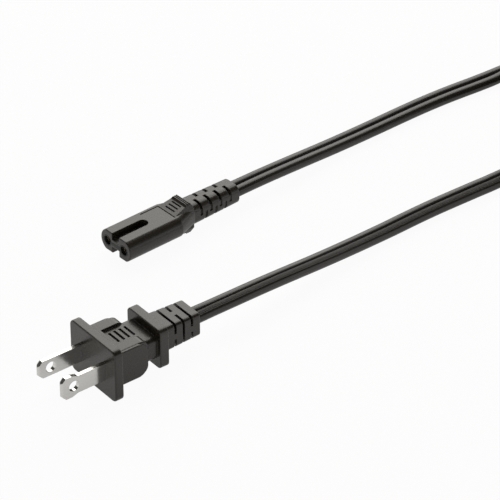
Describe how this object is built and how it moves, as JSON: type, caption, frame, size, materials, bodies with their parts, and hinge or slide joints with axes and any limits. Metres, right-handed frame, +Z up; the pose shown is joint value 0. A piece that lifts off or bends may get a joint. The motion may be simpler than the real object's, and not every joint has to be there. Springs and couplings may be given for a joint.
{
  "type": "power cord",
  "caption": "Mains power cord with a flat twin flex: a polarised flat-blade wall plug on one end and a figure-eight appliance connector on the other, spare length wound in a tied coil.",
  "frame": {"origin": "on the table, under the middle of the box round the plug and the connector", "axes": "+Y along the plug, from its blades towards the flex; +X across the plug, towards the wide blade; +Z up"},
  "size_m": [0.0866, 0.3174, 0.0194],
  "materials": {
    "black_pvc": "fine satin, soft moulded vinyl",
    "flex_pvc": "satin, smooth extruded vinyl",
    "insert_plastic": "matt, hard moulded plastic",
    "nickel_plate": "satin nickel plate on brass",
    "contact_brass": "bright rolled brass",
    "copper": "bare stranded copper",
    "tie_plastic": "matt black strap"
  },
  "bodies": {
    "root": {"plug_body": "black_pvc", "plug_insert": "insert_plastic", "narrow_blade": "nickel_plate", "wide_blade": "nickel_plate", "plug_lead_left": "flex_pvc", "plug_lead_right": "flex_pvc", "plug_strands_left": "copper", "plug_strands_right": "copper", "connector_body": "black_pvc", "contact_carrier": "insert_plastic", "contact_left": "contact_brass", "contact_right": "contact_brass", "connector_lead_left": "flex_pvc", "connector_lead_right": "flex_pvc", "connector_strands_left": "copper", "connector_strands_right": "copper", "cord_plug_run": "flex_pvc", "cord_connector_run": "flex_pvc", "cord_coil": "flex_pvc", "coil_tie": "tie_plastic"}
  },
  "joints": []
}
